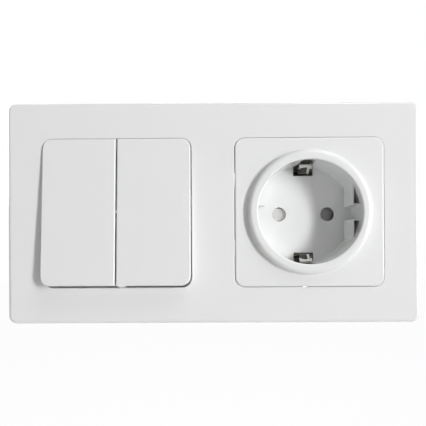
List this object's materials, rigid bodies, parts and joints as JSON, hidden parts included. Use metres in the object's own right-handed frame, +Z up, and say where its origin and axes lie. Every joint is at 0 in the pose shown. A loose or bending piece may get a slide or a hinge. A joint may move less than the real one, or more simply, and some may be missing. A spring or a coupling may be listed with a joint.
{
  "type": "switch and socket combination",
  "caption": "White wall combination of rocker light switches and an earthed socket outlet with a raised round collar, side by side under one rectangular cover frame.",
  "frame": {"origin": "middle of the cover frame's back, in the plane of the wall", "axes": "+Z up, +X to the right seen from the room, +Y into the wall, so the front faces -Y"},
  "size_m": [0.1524, 0.0402, 0.0816],
  "materials": {
    "white_gloss": "glossy white moulded plastic",
    "lever_plastic": "satin off-white moulded plastic",
    "base_plastic": "matt pale grey insulating moulding",
    "plated_steel": "zinc-plated pressed sheet steel",
    "brass": "bright stamped brass",
    "spring_steel": "bright spring wire",
    "nickel": "nickel-plated spring bronze"
  },
  "bodies": {
    "mounting": {"cover_frame": "white_gloss", "socket_front": "white_gloss", "switch_housing": "lever_plastic", "switch_base": "base_plastic", "socket_base": "base_plastic", "switch_support_plate": "plated_steel", "socket_support_plate": "plated_steel", "switch_terminal_clamps": "plated_steel", "socket_terminal_clamps": "plated_steel", "switch_terminal_screws": "plated_steel", "socket_terminal_screws": "plated_steel", "common_contact_bar": "brass", "line_contact": "brass", "neutral_contact": "brass", "earth_bracket": "nickel", "shutter_spring": "spring_steel", "left_fixed_contact": "brass", "right_fixed_contact": "brass"},
    "left_rocker": {"left_rocker": "white_gloss", "left_toggle": "lever_plastic", "left_plunger": "lever_plastic", "left_toggle_spring": "spring_steel"},
    "right_rocker": {"right_rocker": "white_gloss", "right_toggle": "lever_plastic", "right_plunger": "lever_plastic", "right_toggle_spring": "spring_steel"},
    "left_blade": {"left_contact_blade": "brass"},
    "right_blade": {"right_contact_blade": "brass"},
    "shutter": {"socket_shutter": "white_gloss"}
  },
  "joints": [
    {"name": "left_rocker_tilt", "type": "hinge", "parent": "mounting", "child": "left_rocker", "pos_m": [-0.04927, -0.005, 0], "axis": [1, 0, 0], "range_deg": [0, 7.5]},
    {"name": "left_blade_tilt", "type": "hinge", "parent": "mounting", "child": "left_blade", "pos_m": [-0.04927, 0.014, 0], "axis": [1, 0, 0], "range_deg": [-12, 0]},
    {"name": "right_rocker_tilt", "type": "hinge", "parent": "mounting", "child": "right_rocker", "pos_m": [-0.02173, -0.005, 0], "axis": [1, 0, 0], "range_deg": [0, 7.5]},
    {"name": "right_blade_tilt", "type": "hinge", "parent": "mounting", "child": "right_blade", "pos_m": [-0.02173, 0.014, 0], "axis": [1, 0, 0], "range_deg": [-12, 0]},
    {"name": "shutter_turn", "type": "hinge", "parent": "mounting", "child": "shutter", "pos_m": [0.0355, 0.0074, 0], "axis": [0, -1, 0], "range_deg": [0, 38], "stiffness_Nm_per_rad": 0.0005, "springref_deg": -11.46, "deforming": ["shutter_spring"]}
  ],
  "couplings": [
    {"joint": "left_blade_tilt", "follows": "left_rocker_tilt", "ratio": -1.6},
    {"joint": "right_blade_tilt", "follows": "right_rocker_tilt", "ratio": -1.6}
  ]
}
